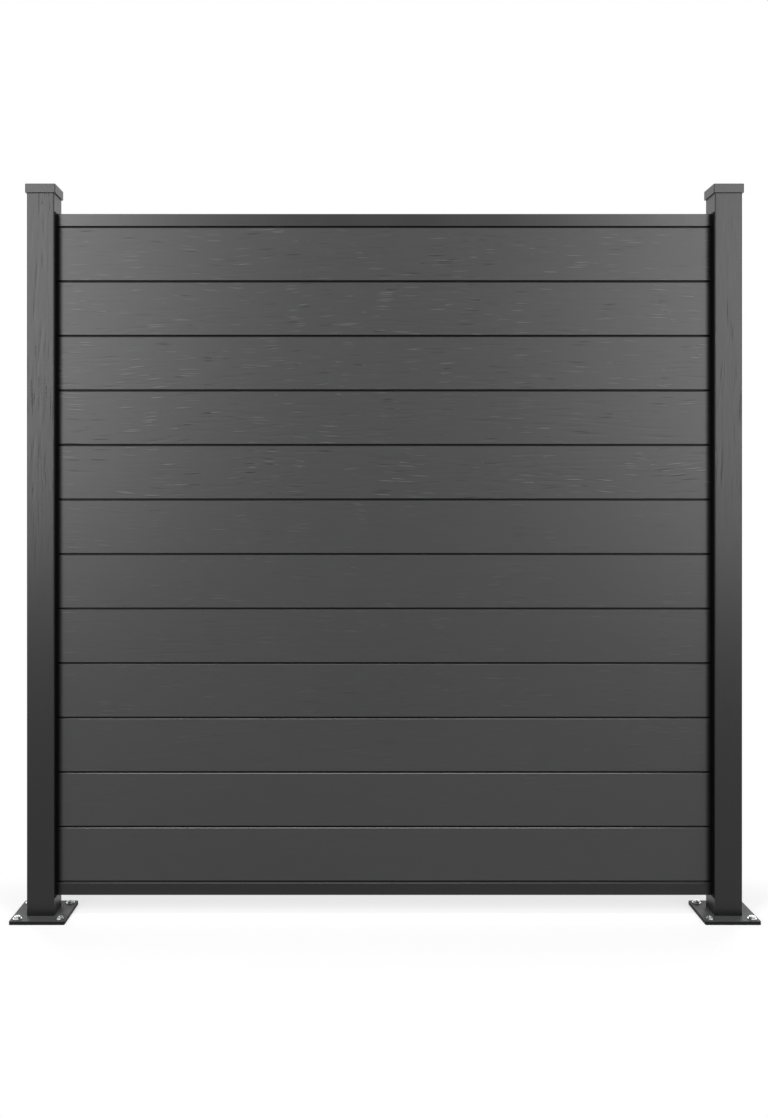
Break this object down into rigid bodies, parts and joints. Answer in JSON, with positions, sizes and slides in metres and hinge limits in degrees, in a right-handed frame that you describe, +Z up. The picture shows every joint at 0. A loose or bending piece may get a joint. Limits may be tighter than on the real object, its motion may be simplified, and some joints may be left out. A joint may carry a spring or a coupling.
{
  "type": "composite fence panel",
  "caption": "Fence panel of stacked tongue-and-groove composite boards with top and bottom rails, held in side channels between two capped square posts on bolted base plates.",
  "frame": {"origin": "on the ground, midway between the posts and midway through the panel", "axes": "+X along the fence to the right seen from the front, the front faces -Y, +Z up"},
  "size_m": [2.025, 0.15, 2.005],
  "materials": {
    "board_composite": "embossed wood grain, dark grey",
    "post_composite": "fine vertical wood grain, dark grey",
    "cap_plastic": "satin, dark grey",
    "rail_aluminium": "satin powder coat, dark grey",
    "channel_aluminium": "matt black powder coat",
    "plate_steel": "fine textured powder coat, dark grey",
    "galvanised_steel": "galvanised",
    "zinc_steel": "bright zinc plate",
    "screw_steel": "black coated screw"
  },
  "bodies": {
    "root": {"post_left": "post_composite", "post_right": "post_composite", "post_cap_left": "cap_plastic", "post_cap_right": "cap_plastic", "base_plate_left": "plate_steel", "base_plate_right": "plate_steel", "post_stub_left": "galvanised_steel", "post_stub_right": "galvanised_steel", "side_channel_left": "channel_aluminium", "side_channel_right": "channel_aluminium", "bottom_rail": "rail_aluminium", "top_rail": "rail_aluminium", "board_01": "board_composite", "board_02": "board_composite", "board_03": "board_composite", "board_04": "board_composite", "board_05": "board_composite", "board_06": "board_composite", "board_07": "board_composite", "board_08": "board_composite", "board_09": "board_composite", "board_10": "board_composite", "board_11": "board_composite", "board_12": "board_composite", "anchor_studs": "zinc_steel", "anchor_nuts": "zinc_steel", "anchor_washers": "zinc_steel", "channel_screws": "screw_steel", "rail_screws": "screw_steel", "post_screws": "screw_steel"}
  },
  "joints": []
}
